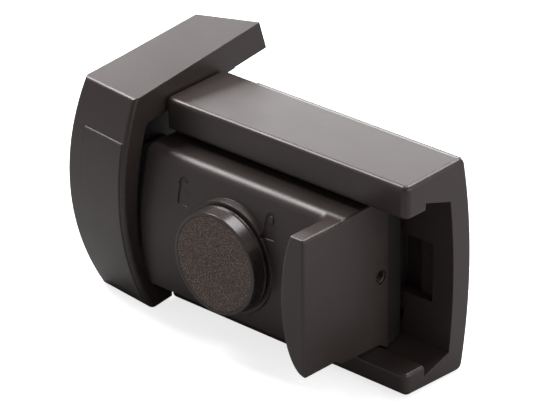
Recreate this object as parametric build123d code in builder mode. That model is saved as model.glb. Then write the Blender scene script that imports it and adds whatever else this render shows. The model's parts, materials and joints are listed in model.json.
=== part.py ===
# Window bar lock: a rail for the sash, a slide with a turning knob that runs in it, and a keeper
# on the frame that the slide shoots into. Millimetres. X runs along the rail, with the keeper at
# its low end, +Y points into the window and +Z is up. The origin is the middle of the rail's seat.
# A depth is counted from the front of the rail's lips, and grows into the window.
from build123d import *
import os
from math import asin, cos, degrees, radians, sin, sqrt, tan

os.makedirs("parts", exist_ok=True)

# Rail
rail_length = 86.5
rail_height = 61.0
rail_depth = 23.3
back_crown = 3.3
rail_draft = 2.0
top_lip_height = 9.3
bottom_lip_height = 6.5
lip_thickness = 7.6
top_undercut = 2.5
bottom_undercut = 3.3
groove_slope = 17.5
web_inner_depth = 19.1
web_inner_hollow = 1.5
rail_end_round = 2.0
rail_edge_round = 1.3
rail_rear_round = 2.2
rail_lip_round = 1.0

# How far a cutting shape reaches past the face it opens
overcut = 1.0

# Packing plates behind the rail and the keeper
rail_packer_thickness = 3.0
rail_packer_inset = 6.6
rail_packer_height = 54.0
packer_seat_gap = 0.05
keeper_packer_thickness = 1.5
keeper_packer_inset = 0.4
keeper_packer_width = 7.0
keeper_packer_height = 55.0

# Holes for the screws that fix the lock to the window
fixing_hole_radius = 2.25
fixing_head_radius = 4.4
rail_hole_spacing_x = 57.0
rail_hole_spacing_z = 32.0
rail_hole_centre_x = -6.25
rail_hole_centre_z = -2.0
keeper_hole_radius = 2.1
keeper_hole_inset = 14.3
keeper_hole_spacing_z = 32.0
keeper_hole_centre_z = -3.75
keeper_head_radius = 3.1
keeper_head_depth = 14.0

# Slide body
slide_length = 71.4
slide_top_gap = 2.4
slide_low_gap = 0.8
slide_rest_gap = 16.0
slide_front_depth = -10.8
slide_front_radius = 64.0
slide_front_centre_z = -3.5
slide_draft = 1.6
slide_back_depth = 11.3
slide_wall = 5.3
slide_end_round = 1.5
slide_top_round = 3.4
slide_low_round = 1.0
lip_gap = 0.35
slide_travel_in = 8.8
slide_travel_out = 15.5

# Finger tab at the slide's end
tab_front_depth = -21.9
tab_width = 8.2
tab_middle_z = -2.0
tab_upper_reach = 24.8
tab_top_inset = 0.4
tab_low_inset = 1.6
tab_root_round = 3.6
tab_edge_round = 0.8

# Padlock marks sunk in the slide's front, an open one at the left and a shut one at the right
mark_depth = 0.3
mark_width = 4.1
mark_height = 4.3
mark_corner = 0.4
mark_z = 8.9
mark_band = 1.0
mark_eye = 0.75
mark_leg = 1.1
open_mark_x = -27.5
open_mark_lean = 24.0
shut_mark_x = 3.9

# Threaded hole in the slide's end
side_hole_radius = 2.0
side_hole_length = 8.0
side_hole_z = -3.5
side_hole_depth = 8.6

# Guide plate that closes the slide and its glides
guide_back_depth = 16.8
guide_gap = 0.5
guide_end_gap = 0.4
glide_thickness = 0.9
glide_width = 3.6
glide_gap = 0.15
glide_end_inset = 3.0
glide_step = 0.7
guide_screw_radius = 1.5
guide_screw_head_radius = 2.8
guide_screw_length = 11.0
guide_screw_left_inset = 8.15
guide_screw_right_inset = 7.25
guide_screw_edge_inset = 4.8
guide_screw_hole_spare = 0.3
guide_screw_key = 1.0

# Knob
knob_x = -10.1
knob_z = -2.9
knob_radius = 15.1
knob_height = 4.9
knob_draft = 2.0
knob_edge_round = 0.45
knob_rim_slope = 0.4
knob_foot_round = 0.25
knob_boss_radius = 16.1
knob_boss_round = 0.2
knob_boss_depth = -11.1
knob_gap = 0.3
knob_rim = 1.45
insert_sink = 0.05
insert_thickness = 1.0
knob_screw_radius = 1.5
knob_screw_head_radius = 2.8
knob_screw_head_height = 1.2
knob_screw_length = 7.0
seal_radius = 7.0
seal_width = 1.6
seal_groove = 0.6
seal_proud = 0.2

# Spindle and what sits on it
spindle_radius = 3.0
spindle_tail_radius = 2.0
spindle_square = 4.2
spindle_socket = 1.5
running_gap = 0.05
static_gap = 0.02
bush_radius = 5.0
bush_flange_radius = 6.6
bush_flange = 1.0
rear_bush_radius = 3.2
rear_bush_length = 2.6
washer_thickness = 0.4
washer_radius = 6.2
cam_radius = 11.5
cam_thickness = 2.0
cam_hub_radius = 4.6
cam_hub_length = 2.6
ramp_radius = 8.2
ramp_width = 2.6
ramp_rise = 4.5
ramp_turn = 90.0
ramp_dwell = 14.0
clip_radius = 4.5
clip_thickness = 0.6
clip_groove = 0.7
clip_opening = 3.4
spindle_shoulder = 0.6

# Locking plate with its tooth, and the rail's pockets for the tooth
plate_thickness = 2.5
plate_radius = 11.2
plate_gap = 4.9
peg_radius = 1.0
peg_gap = 0.6
tooth_width = 7.0
tooth_height = 16.5
tooth_z = -3.2
tooth_x = 11.1
tooth_gap = 0.1
tooth_reach = 0.2
pocket_side_gap = 0.15
pocket_end_gap = 0.35
pocket_depth = 4.9
pocket_step_width = 5.85
pocket_step_depth = 2.2

# Springs, detent ball and stop pin
return_spring_radius = 2.0
return_spring_wire = 0.5
return_spring_turns = 5
return_spring_seat = 2.4
return_spring_offset = 8.2
detent_ball_radius = 1.3
detent_reach = 0.3
detent_gap = 0.1
detent_offset = 9.6
detent_spring_wire = 0.3
detent_spring_turns = 5
detent_spring_length = 3.3
detent_notch = 0.4
stop_pin_radius = 2.0
stop_pin_x = -1.75
stop_pin_z = 12.0
stop_pin_reach = 4.0
stop_slot_gap = 0.3
stop_slot_depth = 2.6

# Hollows inside the slide body
hollow_half_height = 13.0
hollow_left = -23.5
hollow_right = 17.4
end_hollow_left = -40.5
end_hollow_right = -26.5

# Keeper
keeper_gap = 0.5
keeper_front_reach = 16.7
keeper_front_radius = 72.0
keeper_front_centre_z = 4.5
keeper_top_z = 33.0
keeper_low_z = -31.7
keeper_low_rise = 1.0
keeper_front_slant = 6.3
keeper_side_slant = 3.5
keeper_side_top = 22.2
keeper_side_middle = 24.5
keeper_side_low = 22.4
keeper_spare = 2.0
keeper_edge_round = 1.4
arm_top_slope = 8.35
arm_under_slope = 8.1
arm_end_y = 9.05
arm_end_lean = 17.5
arm_end_slant = 17.4
arm_end_round = 0.5
cavity_width = 10.5
cavity_front_gap = 0.5
cavity_front_radius = 76.0
cavity_front_centre_z = -1.3
cavity_half_height = 24.7
keeper_lip_back = 1.2
buffer_thickness = 1.0
buffer_width = 14.0
buffer_height = 30.0
buffer_depth = 3.6

# Cover plate on the keeper's front
cover_thickness = 1.8
cover_proud = 0.3
cover_top_z = 21.0
cover_low_z = -28.5
cover_side_inset = 1.4
cover_width = 16.4
cover_gap = 0.04
cover_chamfer = 0.3
cover_peg_radius = 1.4
cover_peg_length = 2.2
cover_peg_spare = 3.0
cover_peg_inset = 7.0
cover_peg_top_z = 14.0
cover_peg_low_z = -21.0

# Places that follow from the sizes above
lip_face = -(rail_depth + back_crown + rail_packer_thickness)
lip_back = lip_face + lip_thickness
rail_left = -rail_length / 2
rail_right = rail_length / 2
rear_y = lip_face + rail_depth
crown_y = rear_y + back_crown
rear_half = rail_height / 2 + rail_depth * tan(radians(rail_draft))
mouth_top = rail_height / 2 - top_lip_height
mouth_low = -rail_height / 2 + bottom_lip_height
web_y = lip_face + web_inner_depth
web_corner_y = web_y - web_inner_hollow
slide_right = rail_right - slide_rest_gap
slide_left = slide_right - slide_length
slide_top = mouth_top - slide_top_gap
slide_low = mouth_low + slide_low_gap
slide_centre_z = (slide_top + slide_low) / 2
wall_inner = slide_front_depth + slide_wall
knob_back = knob_boss_depth - knob_gap
knob_front = knob_back - knob_height
insert_front = knob_front + insert_sink
insert_back = insert_front + insert_thickness
socket_end = knob_back - spindle_socket
washer_front = wall_inner + bush_flange + running_gap
cam_front = washer_front + washer_thickness + running_gap
cam_back = cam_front + cam_thickness
hub_back = cam_back + cam_hub_length
clip_front = hub_back + running_gap
plate_front = cam_back + plate_gap
plate_back = plate_front + plate_thickness
tooth_tip = guide_back_depth + tooth_reach
rear_bush_back = slide_back_depth + rear_bush_length
keeper_right = rail_left - keeper_gap
keeper_back = -keeper_packer_thickness
cavity_left = keeper_right - cavity_width
cavity_front_reach = cavity_front_gap - slide_front_depth
front_shift = tan(radians(keeper_front_slant))
guide_screw_places = [
    (x, z)
    for x in (slide_left + guide_screw_left_inset, slide_right - guide_screw_right_inset)
    for z in (slide_low + guide_screw_edge_inset, slide_top - guide_screw_edge_inset)
]
cover_peg_places = [(keeper_right - cover_peg_inset, z) for z in (cover_peg_top_z, cover_peg_low_z)]


def depth_plane(depth):
    """The upright plane this deep in the lock. It faces the room."""
    return Plane.XZ.offset(-(lip_face + depth))


def groove_top(y):
    """Height of the groove's ceiling at this y."""
    return mouth_top + top_undercut - (y - lip_back) * tan(radians(groove_slope))


def groove_low(y):
    """Height of the groove's floor at this y."""
    return mouth_low - bottom_undercut + (y - lip_back) * tan(radians(groove_slope))


def arc_y(radius, reach, centre_z, z):
    """Y, at height z, of a face that bulges this far in front of the lips as an arc."""
    return lip_face - reach + radius - sqrt(radius**2 - (z - centre_z) ** 2)


def keeper_arc(z, inwards=0.0, along=0.0):
    """Y of the keeper's front at height z, this far below its face and this far from its edge."""
    radius = keeper_front_radius - inwards
    reach = keeper_front_reach - inwards
    return arc_y(radius, reach, keeper_front_centre_z, z) + along * front_shift


def cavity_arc(z):
    """Y of the cavity's front wall at height z."""
    return arc_y(cavity_front_radius, cavity_front_reach, cavity_front_centre_z, z)


def arm_top(y):
    """Height of the top of the keeper's arm at this y."""
    return keeper_top_z + (y - keeper_arc(keeper_top_z)) * tan(radians(arm_top_slope))


def arm_under(y):
    """Height of the underside of the keeper's arm at this y."""
    return cavity_half_height + (y - cavity_arc(cavity_half_height)) * tan(radians(arm_under_slope))


def keeper_front_band(along, thickness, margin):
    """Outline of a plate let into the keeper's front, this far from its right edge."""
    heights = (cover_low_z - margin, keeper_front_centre_z, cover_top_z + margin)
    outer = ThreePointArc([(keeper_arc(z, -cover_proud, along), z) for z in heights])
    inner = ThreePointArc([(keeper_arc(z, thickness, along), z) for z in heights])
    Line(outer @ 0, inner @ 0)
    Line(outer @ 1, inner @ 1)


# Rail: a C section with a crowned back and a dovetail groove behind its lips
with BuildPart() as rail:
    with BuildSketch(Plane.YZ.offset(rail_left)) as rail_profile:
        with BuildLine():
            Polyline(
                (rear_y, -rear_half),
                (lip_face, -rail_height / 2),
                (lip_face, rail_height / 2),
                (rear_y, rear_half),
            )
            ThreePointArc((rear_y, rear_half), (crown_y, 0), (rear_y, -rear_half))
        make_face()
        fillet(rail_profile.vertices().group_by(Axis.X)[-1], rail_rear_round)
        with BuildLine():
            Polyline(
                (web_corner_y, groove_top(web_corner_y)),
                (lip_back, groove_top(lip_back)),
                (lip_back, mouth_top),
                (lip_face - overcut, mouth_top),
                (lip_face - overcut, mouth_low),
                (lip_back, mouth_low),
                (lip_back, groove_low(lip_back)),
                (web_corner_y, groove_low(web_corner_y)),
            )
            ThreePointArc(
                (web_corner_y, groove_low(web_corner_y)),
                (web_y, slide_centre_z),
                (web_corner_y, groove_top(web_corner_y)),
            )
        make_face(mode=Mode.SUBTRACT)
    extrude(amount=rail_length)
    lip_faces = rail.faces().group_by(Axis.Y)[0]
    low_edge = lip_faces.edges().filter_by(Axis.X).sort_by(Axis.Z)[0]
    fillet(lip_faces.edges().filter_by(Axis.Z) + [low_edge], rail_end_round)
    front_edges = rail.edges().filter_by(Axis.X).group_by(Axis.Y)[0].sort_by(Axis.Z)
    fillet(front_edges[-1], rail_edge_round)
    mouth_edges = rail.edges().filter_by(Axis.X).group_by(Axis.Y)[0]
    fillet(mouth_edges, rail_lip_round)
    # Pockets where the tooth locks the slide open, at rest and shot
    pocket_places = [(tooth_x + travel, tooth_z) for travel in (-slide_travel_in, 0, slide_travel_out)]
    with BuildSketch(depth_plane(web_inner_depth + pocket_depth)):
        with Locations(*pocket_places):
            Rectangle(tooth_width + 2 * pocket_side_gap, tooth_height + 2 * pocket_end_gap)
    extrude(amount=pocket_depth + web_inner_hollow, mode=Mode.SUBTRACT)
    step_x = tooth_x + slide_travel_out + tooth_width / 2 + pocket_side_gap + pocket_step_width / 2
    with BuildSketch(depth_plane(web_inner_depth + pocket_step_depth)):
        with Locations((step_x, tooth_z)):
            Rectangle(pocket_step_width, tooth_height + 2 * pocket_end_gap)
    extrude(amount=pocket_step_depth + web_inner_hollow, mode=Mode.SUBTRACT)
    # Slot for the stop pin, as long as the slide's travel
    slot_length = slide_travel_in + slide_travel_out + 2 * stop_slot_gap
    with BuildSketch(depth_plane(web_inner_depth + stop_slot_depth)):
        with Locations((stop_pin_x + (slide_travel_out - slide_travel_in) / 2, stop_pin_z)):
            SlotCenterToCenter(slot_length, 2 * (stop_pin_radius + stop_slot_gap))
    extrude(amount=stop_slot_depth + web_inner_hollow, mode=Mode.SUBTRACT)
    # Countersunk fixing holes
    with Locations(depth_plane(web_inner_depth - web_inner_hollow / 2)):
        with Locations((rail_hole_centre_x, rail_hole_centre_z)):
            with GridLocations(rail_hole_spacing_x, rail_hole_spacing_z, 2, 2):
                CounterSinkHole(fixing_hole_radius, fixing_head_radius, 2 * rail_depth)
rail.part.label = "rail"
export_step(rail.part, "parts/rail.step")

# Packing plate between the crowned rail and the flat sash
crown_radius = (rear_half**2 + back_crown**2) / (2 * back_crown)
with BuildPart() as rail_packer:
    seat_radius = crown_radius + packer_seat_gap
    packer_edge_y = crown_y - crown_radius + sqrt(seat_radius**2 - (rail_packer_height / 2) ** 2)
    with BuildSketch(Plane.YZ.offset(rail_left + rail_packer_inset)):
        with BuildLine():
            Polyline(
                (packer_edge_y, -rail_packer_height / 2),
                (0, -rail_packer_height / 2),
                (0, rail_packer_height / 2),
                (packer_edge_y, rail_packer_height / 2),
            )
            ThreePointArc(
                (packer_edge_y, rail_packer_height / 2),
                (crown_y + packer_seat_gap, 0),
                (packer_edge_y, -rail_packer_height / 2),
            )
        make_face()
    extrude(amount=rail_length - 2 * rail_packer_inset)
    with Locations(Plane.XZ):
        with Locations((rail_hole_centre_x, rail_hole_centre_z)):
            with GridLocations(rail_hole_spacing_x, rail_hole_spacing_z, 2, 2):
                Hole(fixing_hole_radius)
rail_packer.part.label = "rail_packer"
export_step(rail_packer.part, "parts/rail_packer.step")

# Keeper: a barrelled front, an arm that reaches back over the frame and a cavity for the slide
keeper_reach_back = arm_end_y + keeper_side_middle
with BuildPart() as keeper:
    arm_far_z = arm_top(keeper_reach_back)
    lip_back_y = lip_face + keeper_lip_back
    with BuildSketch(Plane.YZ.offset(keeper_right)):
        with BuildLine():
            ThreePointArc(
                (keeper_arc(keeper_low_z), keeper_low_z),
                (keeper_arc(keeper_front_centre_z), keeper_front_centre_z),
                (keeper_arc(keeper_top_z), keeper_top_z),
            )
            Polyline(
                (keeper_arc(keeper_top_z), keeper_top_z),
                (keeper_reach_back, arm_far_z),
                (keeper_reach_back, keeper_low_z + 2 * keeper_low_rise),
                (lip_back_y, keeper_low_z + keeper_low_rise),
                (keeper_arc(keeper_low_z), keeper_low_z),
            )
        make_face()
    skew = Vector(-1, front_shift, 0)
    extrude(amount=(keeper_side_middle + keeper_spare) * skew.length, dir=skew)
    # The left face bulges in the middle and draws in towards the window
    side = radians(keeper_side_slant)
    side_plane = Plane(
        origin=(keeper_right, lip_face - keeper_front_reach, 0),
        x_dir=(cos(side), -sin(side), 0),
        z_dir=(-sin(side), -cos(side), 0),
    )
    with BuildSketch(side_plane):
        with BuildLine():
            ThreePointArc(
                (-keeper_side_low, keeper_low_z),
                (-keeper_side_middle, keeper_front_centre_z),
                (-keeper_side_top, keeper_top_z + keeper_spare),
            )
            Polyline(
                (-keeper_side_top, keeper_top_z + keeper_spare),
                (-keeper_side_top, arm_far_z + keeper_spare),
                (keeper_side_top, arm_far_z + keeper_spare),
                (keeper_side_top, keeper_low_z - keeper_spare),
                (-keeper_side_low, keeper_low_z - keeper_spare),
                (-keeper_side_low, keeper_low_z),
            )
        make_face()
    extrude(amount=2 * keeper_reach_back, both=True, mode=Mode.INTERSECT)
    # The seat on the frame, under the arm
    with BuildSketch(Plane.YZ.offset(keeper_right + overcut)):
        with BuildLine():
            Polyline(
                (keeper_back, arm_under(keeper_back)),
                (2 * keeper_reach_back, arm_under(2 * keeper_reach_back)),
                (2 * keeper_reach_back, 2 * keeper_low_z),
                (keeper_back, 2 * keeper_low_z),
                close=True,
            )
        make_face()
    extrude(amount=-2 * keeper_side_middle, mode=Mode.SUBTRACT)
    # The arm's end, which leans and runs askew
    end_across = Vector(-1, -tan(radians(arm_end_slant)), 0)
    end_down = Vector(0, tan(radians(arm_end_lean)), -1)
    end_plane = Plane(
        origin=(keeper_right, arm_end_y, arm_top(arm_end_y)),
        z_dir=end_across.cross(end_down),
    )
    split(bisect_by=end_plane, keep=Keep.TOP)
    fillet(keeper.faces().sort_by(Axis.Y)[0].edges(), keeper_edge_round)
    arm_edges = keeper.edges().filter_by(lambda edge: edge.center().Y > keeper_back + static_gap)
    fillet(arm_edges.filter_by(lambda edge: edge.center().Z > cavity_half_height), arm_end_round)
    # The cavity, open at the right, below and behind
    with BuildSketch(Plane.YZ.offset(keeper_right + overcut)):
        with BuildLine():
            ThreePointArc([(cavity_arc(z), z) for z in (-cavity_half_height, 0, cavity_half_height)])
            Polyline(
                (cavity_arc(cavity_half_height), cavity_half_height),
                (keeper_reach_back, arm_under(keeper_reach_back)),
                (keeper_reach_back, 2 * keeper_low_z),
                (lip_back_y, 2 * keeper_low_z),
                (lip_back_y, -cavity_half_height),
                (cavity_arc(-cavity_half_height), -cavity_half_height),
            )
        make_face()
    extrude(amount=-(cavity_width + overcut), mode=Mode.SUBTRACT)
    # Seat for the cover plate, with the holes of its two pegs
    with BuildSketch(Plane.YZ.offset(keeper_right - cover_side_inset + cover_gap)):
        with BuildLine():
            keeper_front_band(cover_side_inset - cover_gap, cover_thickness - cover_proud, cover_gap)
        make_face()
    extrude(amount=(cover_width + 2 * cover_gap) * skew.length, dir=skew, mode=Mode.SUBTRACT)
    peg_foot = lip_face - keeper_front_reach + cover_thickness - cover_proud
    peg_floor = peg_foot + cover_peg_length + cover_peg_spare
    with BuildSketch(Plane.XZ.offset(-peg_floor)):
        with Locations(*cover_peg_places):
            Circle(cover_peg_radius + static_gap)
    extrude(amount=cover_peg_length + 2 * cover_peg_spare, mode=Mode.SUBTRACT)
    # Screw holes in line down the block, sunk deep behind the cover plate
    with Locations(depth_plane(keeper_head_depth - keeper_front_reach)):
        with Locations((keeper_right - keeper_hole_inset, keeper_hole_centre_z)):
            with GridLocations(1, keeper_hole_spacing_z, 1, 2):
                CounterBoreHole(
                    keeper_hole_radius, keeper_head_radius, keeper_head_depth, 2 * keeper_reach_back
                )
keeper.part.label = "keeper"
export_step(keeper.part, "parts/keeper.step")

# Cover plate over the keeper's screws, held by two pegs
with BuildPart() as keeper_cover:
    with BuildSketch(Plane.YZ.offset(keeper_right - cover_side_inset)):
        with BuildLine():
            keeper_front_band(cover_side_inset, cover_thickness - cover_proud, 0)
        make_face()
    extrude(amount=cover_width * skew.length, dir=skew)
    cover_front = keeper_cover.faces().sort_by(Axis.Y)[0]
    chamfer(cover_front.edges(), cover_chamfer)
    with BuildSketch(Plane.XZ.offset(-(peg_floor - running_gap))):
        with Locations(*cover_peg_places):
            Circle(cover_peg_radius)
    extrude(until=Until.NEXT)
keeper_cover.part.label = "keeper_cover"
export_step(keeper_cover.part, "parts/keeper_cover.step")

# Packing plate behind the keeper's block
with BuildPart() as keeper_packer:
    packer_x = cavity_left - keeper_packer_inset - keeper_packer_width / 2
    with BuildSketch(Plane.XZ):
        with Locations((packer_x, keeper_hole_centre_z)):
            Rectangle(keeper_packer_width, keeper_packer_height)
        with Locations((keeper_right - keeper_hole_inset, keeper_hole_centre_z)):
            with GridLocations(1, keeper_hole_spacing_z, 1, 2):
                Circle(keeper_hole_radius, mode=Mode.SUBTRACT)
    extrude(amount=keeper_packer_thickness)
keeper_packer.part.label = "keeper_packer"
export_step(keeper_packer.part, "parts/keeper_packer.step")

# Rubber buffer at the end of the keeper's cavity
with BuildPart() as keeper_buffer:
    with BuildSketch(Plane.YZ.offset(cavity_left)):
        with Locations((lip_face + buffer_depth, slide_centre_z)):
            RectangleRounded(buffer_width, buffer_height, buffer_thickness)
    extrude(amount=buffer_thickness)
keeper_buffer.part.label = "keeper_buffer"
export_step(keeper_buffer.part, "parts/keeper_buffer.step")

# The shape that the two marks take out of the slide's barrelled front
with BuildPart() as slide_marks:
    shackle_radius = mark_eye + mark_band
    leg_offset = mark_eye + mark_band / 2
    for mark_x, lean, legs in ((open_mark_x, open_mark_lean, (-1,)), (shut_mark_x, 0, (-1, 1))):
        with BuildSketch(depth_plane(wall_inner)):
            with Locations(Location((mark_x - leg_offset, mark_z + mark_height / 2, 0), (0, 0, lean))):
                with Locations((leg_offset, mark_leg)):
                    Circle(shackle_radius)
                    Circle(mark_eye, mode=Mode.SUBTRACT)
                    with Locations((0, -shackle_radius / 2)):
                        Rectangle(2 * shackle_radius, shackle_radius, mode=Mode.SUBTRACT)
                    with Locations(*[(side * leg_offset, -(mark_leg + mark_corner) / 2) for side in legs]):
                        Rectangle(mark_band, mark_leg + mark_corner)
            with Locations((mark_x, mark_z)):
                RectangleRounded(mark_width, mark_height, mark_corner)
        extrude(amount=wall_inner - slide_front_depth + mark_depth)
    arc_middle = (0, lip_face + slide_front_depth + slide_front_radius, slide_front_centre_z)
    with Locations(Plane(origin=arc_middle, z_dir=(1, 0, 0))):
        Cylinder(slide_front_radius - mark_depth, 2 * slide_length, mode=Mode.SUBTRACT)

# Slide body: barrelled front, neck between the rail's lips, finger tab and a hollow back
with BuildPart() as slide_body:
    slide_front_top = arc_y(slide_front_radius, -slide_front_depth, slide_front_centre_z, slide_top)
    slide_front_low = arc_y(slide_front_radius, -slide_front_depth, slide_front_centre_z, slide_low)
    neck_y = lip_back + lip_gap
    slide_back_y = lip_face + slide_back_depth
    with BuildSketch(Plane.YZ.offset(slide_left)):
        with BuildLine():
            ThreePointArc(
                (slide_front_low, slide_low),
                (lip_face + slide_front_depth, slide_front_centre_z),
                (slide_front_top, slide_top),
            )
            Polyline(
                (slide_front_top, slide_top),
                (neck_y, slide_top + (neck_y - slide_front_top) * tan(radians(slide_draft))),
                (slide_back_y, groove_top(slide_back_y) - guide_gap),
                (slide_back_y, groove_low(slide_back_y) + guide_gap),
                (neck_y, slide_low - (neck_y - slide_front_low) * tan(radians(slide_draft))),
                (slide_front_low, slide_low),
            )
        make_face()
    extrude(amount=slide_length)
    front_edges = slide_body.edges().filter_by(Axis.X).filter_by(lambda edge: edge.center().Y < lip_face)
    fillet(front_edges.sort_by(Axis.Z)[-1], slide_top_round)
    front_edges = slide_body.edges().filter_by(Axis.X).filter_by(lambda edge: edge.center().Y < lip_face)
    fillet(front_edges.sort_by(Axis.Z)[0], slide_low_round)
    left_edges = slide_body.faces().sort_by(Axis.X)[0].edges()
    fillet(left_edges.filter_by(lambda edge: edge.center().Y < neck_y - slide_end_round), slide_end_round)
    # Finger tab, D-shaped seen from the front
    tab_top = slide_top - tab_top_inset
    tab_low = slide_low + tab_low_inset
    tab_top_turn = degrees(asin((tab_top - tab_middle_z) / tab_upper_reach))
    with BuildSketch(depth_plane(wall_inner)):
        with BuildLine():
            middle = (slide_right, tab_middle_z)
            upper = EllipticalCenterArc(
                middle, tab_width, tab_upper_reach, 180 - tab_top_turn, arc_size=tab_top_turn
            )
            lower = EllipticalCenterArc(middle, tab_width, tab_middle_z - tab_low, 180, arc_size=90)
            Polyline(lower @ 1, (slide_right, tab_top), upper @ 0)
        make_face()
    extrude(amount=wall_inner - tab_front_depth)
    tab_edges = slide_body.edges(Select.LAST)
    tab_roots = tab_edges.filter_by(lambda edge: edge.center().Y > lip_face + slide_front_depth)
    tab_roots = tab_roots.filter_by(lambda edge: edge.center().X < slide_right - tab_edge_round)
    fillet(tab_roots, tab_root_round)
    tab_corner = slide_body.edges().filter_by(Axis.Y).sort_by(Axis.X)[-2:].sort_by(Axis.Z)[-1]
    fillet(slide_body.faces().sort_by(Axis.Y)[0].edges() + [tab_corner], tab_edge_round)
    # Flat boss under the knob, with its seal's groove and the hole of the spindle's bush
    with BuildSketch(depth_plane(wall_inner)):
        with Locations((knob_x, knob_z)):
            Circle(knob_boss_radius)
    extrude(amount=wall_inner - knob_boss_depth)
    boss_rims = slide_body.edges(Select.LAST).filter_by(GeomType.CIRCLE)
    fillet(boss_rims.sort_by(Axis.Y)[0], knob_boss_round)
    with BuildSketch(depth_plane(knob_boss_depth)):
        with Locations((knob_x, knob_z)):
            Circle(seal_radius + seal_width)
            Circle(seal_radius, mode=Mode.SUBTRACT)
    extrude(amount=-seal_groove, mode=Mode.SUBTRACT)
    with BuildSketch(depth_plane(wall_inner)):
        with Locations((knob_x, knob_z)):
            Circle(bush_radius + static_gap)
    extrude(amount=wall_inner - knob_boss_depth, mode=Mode.SUBTRACT)
    add(slide_marks.part, mode=Mode.SUBTRACT)
    # Hollows behind the front wall, and the bore of the detent ball
    with BuildSketch(depth_plane(slide_back_depth)):
        with Locations(((hollow_left + hollow_right) / 2, knob_z)):
            Rectangle(hollow_right - hollow_left, 2 * hollow_half_height)
        with Locations(((end_hollow_left + end_hollow_right) / 2, knob_z)):
            Rectangle(end_hollow_right - end_hollow_left, 2 * hollow_half_height)
    extrude(amount=slide_back_depth - wall_inner, mode=Mode.SUBTRACT)
    detent_centre = cam_front + detent_reach - detent_ball_radius
    detent_spring_back = detent_centre - detent_ball_radius - running_gap
    with BuildSketch(depth_plane(wall_inner)):
        with Locations((knob_x, knob_z + detent_offset)):
            Circle(detent_ball_radius + running_gap)
    extrude(amount=wall_inner - detent_spring_back + detent_spring_length, mode=Mode.SUBTRACT)
    # Holes of the guide plate's screws, and the threaded hole in the end
    guide_screw_hold = guide_screw_length - guide_back_depth + slide_back_depth
    with Locations(depth_plane(slide_back_depth)):
        with Locations(*guide_screw_places):
            Hole(guide_screw_radius + static_gap, guide_screw_hold + guide_screw_hole_spare)
    with Locations(Plane(origin=(slide_right, lip_face + side_hole_depth, side_hole_z), z_dir=(1, 0, 0))):
        Hole(side_hole_radius, side_hole_length)
slide_body.part.label = "slide_body"
export_step(slide_body.part, "parts/slide_body.step")

# Guide plate: a dovetail that runs in the rail's groove and closes the slide's back
with BuildPart() as guide_plate:
    guide_back_y = lip_face + guide_back_depth
    with BuildSketch(Plane.YZ.offset(slide_left + guide_end_gap)):
        Polygon(
            (slide_back_y, groove_low(slide_back_y) + guide_gap),
            (guide_back_y, groove_low(guide_back_y) + guide_gap),
            (guide_back_y, groove_top(guide_back_y) - guide_gap),
            (slide_back_y, groove_top(slide_back_y) - guide_gap),
            align=None,
        )
    extrude(amount=slide_length - 2 * guide_end_gap)
    with BuildSketch(Plane.YZ.offset(slide_left + glide_end_inset - static_gap)):
        glide_start_y = slide_back_y + glide_step - static_gap
        glide_end_y = slide_back_y + glide_step + glide_width + static_gap
        glide_floor = glide_gap + glide_thickness + static_gap
        for groove, inwards in ((groove_top, -1), (groove_low, 1)):
            Polygon(
                (glide_start_y, groove(glide_start_y) + inwards * glide_floor),
                (glide_end_y, groove(glide_end_y) + inwards * glide_floor),
                (glide_end_y, groove(glide_end_y) - inwards),
                (glide_start_y, groove(glide_start_y) - inwards),
                align=None,
            )
    extrude(amount=slide_length - 2 * (glide_end_inset - static_gap), mode=Mode.SUBTRACT)
    with BuildSketch(depth_plane(guide_back_depth)):
        with Locations((tooth_x, tooth_z)):
            Rectangle(tooth_width + 2 * tooth_gap, tooth_height + 2 * tooth_gap)
        with Locations((stop_pin_x, stop_pin_z)):
            Circle(stop_pin_radius + static_gap)
    extrude(amount=guide_back_depth - slide_back_depth, mode=Mode.SUBTRACT)
    with BuildSketch(depth_plane(slide_back_depth)):
        with Locations((knob_x, knob_z)):
            Circle(rear_bush_radius + static_gap)
    extrude(amount=-rear_bush_length, mode=Mode.SUBTRACT)
    with BuildSketch(depth_plane(slide_back_depth)):
        with Locations((knob_x - return_spring_offset, knob_z), (knob_x + return_spring_offset, knob_z)):
            Circle(return_spring_radius + running_gap)
    extrude(amount=-return_spring_seat, mode=Mode.SUBTRACT)
    with Locations(depth_plane(guide_back_depth).rotated((180, 0, 0))):
        with Locations(*[(x, -z) for x, z in guide_screw_places]):
            CounterSinkHole(
                guide_screw_radius + static_gap, guide_screw_head_radius + static_gap, guide_screw_length
            )
guide_plate.part.label = "guide_plate"
export_step(guide_plate.part, "parts/guide_plate.step")

# Countersunk screws that hold the guide plate on
with BuildPart() as guide_screws:
    head_height = guide_screw_head_radius - guide_screw_radius
    bottom = (Align.CENTER, Align.CENTER, Align.MIN)
    with Locations(depth_plane(guide_back_depth)):
        with Locations(*guide_screw_places):
            Cylinder(guide_screw_radius, guide_screw_length, align=bottom)
            Cone(guide_screw_head_radius, guide_screw_radius, head_height, align=bottom)
    with BuildSketch(depth_plane(guide_back_depth)):
        with Locations(*guide_screw_places):
            RegularPolygon(guide_screw_key, 6)
    extrude(amount=guide_screw_key, mode=Mode.SUBTRACT)
guide_screws.part.label = "guide_screws"
export_step(guide_screws.part, "parts/guide_screws.step")

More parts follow.
